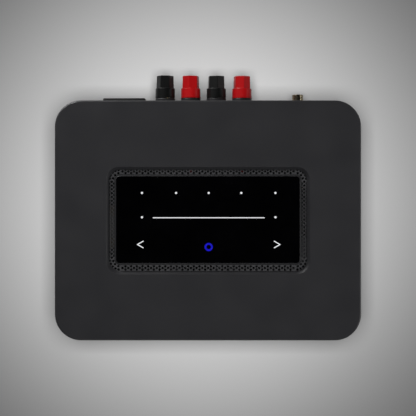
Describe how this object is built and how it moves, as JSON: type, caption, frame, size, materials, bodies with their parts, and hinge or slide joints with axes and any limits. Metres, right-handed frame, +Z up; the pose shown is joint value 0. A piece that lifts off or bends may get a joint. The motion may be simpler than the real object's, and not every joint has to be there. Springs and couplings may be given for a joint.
{
  "type": "network audio receiver",
  "caption": "Low round-cornered audio receiver with a touch glass set in its lid inside a perforated air grille, and screw-cap speaker terminals, mains inlet and signal sockets on its back.",
  "frame": {"origin": "on the surface the feet stand on, at the centre of the whole footprint with the terminals", "axes": "+X to the right seen from the front, +Y to the back where the terminals are, +Z up"},
  "size_m": [0.22, 0.1932, 0.07],
  "materials": {
    "case_plastic": "fine satin texture, black",
    "base_plastic": "fine satin texture, black",
    "foot_rubber": "soft matt rubber",
    "panel_plastic": "matt black",
    "grille_steel": "matt grey-black coat on perforated sheet",
    "black_glass": "gloss black, back-printed",
    "carrier_plastic": "satin black",
    "white_window": "lit white light guide",
    "blue_window": "lit blue light guide",
    "board_laminate": "dark green solder mask",
    "flex_cable": "amber film",
    "zinc_screws": "black zinc plate",
    "collar_plastic": "black moulded collar",
    "gold_plate": "gold plate",
    "washer_metal": "nickel plate",
    "cap_red": "tinted red moulding",
    "cap_black": "black moulding",
    "lead_copper": "black insulation on copper wire",
    "mains_lead": "brown insulation",
    "inlet_plastic": "black moulding",
    "inlet_brass": "nickel-plated brass",
    "jack_plate": "plated ring",
    "socket_plastic": "black moulding",
    "socket_steel": "tinned steel shell",
    "chip_epoxy": "moulded epoxy",
    "sink_aluminium": "black anodised",
    "capacitor_sleeve": "shrink sleeve",
    "ferrite": "ferrite core and taped coil",
    "aerial_laminate": "printed aerial"
  },
  "bodies": {
    "case": {"amp_board": "board_laminate", "amp_heat_sink": "sink_aluminium", "base_tray": "base_plastic", "board_chips": "chip_epoxy", "board_screws": "zinc_screws", "bulk_capacitors": "capacitor_sleeve", "case_screws": "zinc_screws", "foot_front_left": "foot_rubber", "foot_front_right": "foot_rubber", "foot_rear_left": "foot_rubber", "foot_rear_right": "foot_rubber", "glass_carrier": "carrier_plastic", "hdmi_socket": "socket_steel", "inlet_pins": "inlet_brass", "line_in_jack": "socket_plastic", "main_board": "board_laminate", "mains_inlet": "inlet_plastic", "mains_leads": "mains_lead", "network_socket": "socket_steel", "output_inductors": "chip_epoxy", "panel_screws": "zinc_screws", "post_1_collar": "collar_plastic", "post_1_stud": "gold_plate", "post_2_collar": "collar_plastic", "post_2_stud": "gold_plate", "post_3_collar": "collar_plastic", "post_3_stud": "gold_plate", "post_4_collar": "collar_plastic", "post_4_stud": "gold_plate", "post_nuts": "gold_plate", "power_board": "board_laminate", "power_transformer": "ferrite", "preset_windows": "white_window", "processor_heat_sink": "sink_aluminium", "rear_panel": "panel_plastic", "skip_windows": "white_window", "socket_inserts": "socket_plastic", "speaker_leads": "lead_copper", "status_ring_window": "blue_window", "sub_jack_contact": "gold_plate", "sub_jack_core": "socket_plastic", "sub_jack_shell": "jack_plate", "top_shell": "case_plastic", "touch_board": "board_laminate", "touch_glass": "black_glass", "touch_ribbon": "flex_cable", "trigger_jack": "socket_plastic", "usb_socket": "socket_steel", "vent_grille": "grille_steel", "volume_windows": "white_window", "wifi_antennas": "aerial_laminate", "wifi_module": "socket_steel"},
    "post_1_clamp": {"post_1_washer": "washer_metal"},
    "post_1_screw_cap": {"post_1_cap": "cap_black"},
    "post_2_clamp": {"post_2_washer": "washer_metal"},
    "post_2_screw_cap": {"post_2_cap": "cap_red"},
    "post_3_clamp": {"post_3_washer": "washer_metal"},
    "post_3_screw_cap": {"post_3_cap": "cap_black"},
    "post_4_clamp": {"post_4_washer": "washer_metal"},
    "post_4_screw_cap": {"post_4_cap": "cap_red"}
  },
  "joints": [
    {"name": "post_1_travel", "type": "slide", "parent": "case", "child": "post_1_clamp", "axis": [0, 1, 0], "range_m": [-0.0003, 0.0057]},
    {"name": "post_1_turn", "type": "hinge", "parent": "post_1_clamp", "child": "post_1_screw_cap", "pos_m": [-0.0318, 0.0798, 0.034], "axis": [0, 1, 0], "range_deg": [-108, 2052]},
    {"name": "post_2_travel", "type": "slide", "parent": "case", "child": "post_2_clamp", "axis": [0, 1, 0], "range_m": [-0.0002, 0.0058]},
    {"name": "post_2_turn", "type": "hinge", "parent": "post_2_clamp", "child": "post_2_screw_cap", "pos_m": [-0.0128, 0.0798, 0.034], "axis": [0, 1, 0], "range_deg": [-72, 2088]},
    {"name": "post_3_travel", "type": "slide", "parent": "case", "child": "post_3_clamp", "axis": [0, 1, 0], "range_m": [-0.0001, 0.0059]},
    {"name": "post_3_turn", "type": "hinge", "parent": "post_3_clamp", "child": "post_3_screw_cap", "pos_m": [0.0062, 0.0798, 0.034], "axis": [0, 1, 0], "range_deg": [-36, 2124]},
    {"name": "post_4_travel", "type": "slide", "parent": "case", "child": "post_4_clamp", "axis": [0, 1, 0], "range_m": [0, 0.006]},
    {"name": "post_4_turn", "type": "hinge", "parent": "post_4_clamp", "child": "post_4_screw_cap", "pos_m": [0.0252, 0.0798, 0.034], "axis": [0, 1, 0], "range_deg": [0, 2160]}
  ],
  "couplings": [
    {"joint": "post_1_turn", "follows": "post_1_travel", "rad_per_m": 6283.2},
    {"joint": "post_2_turn", "follows": "post_2_travel", "rad_per_m": 6283.2},
    {"joint": "post_3_turn", "follows": "post_3_travel", "rad_per_m": 6283.2},
    {"joint": "post_4_turn", "follows": "post_4_travel", "rad_per_m": 6283.2}
  ]
}
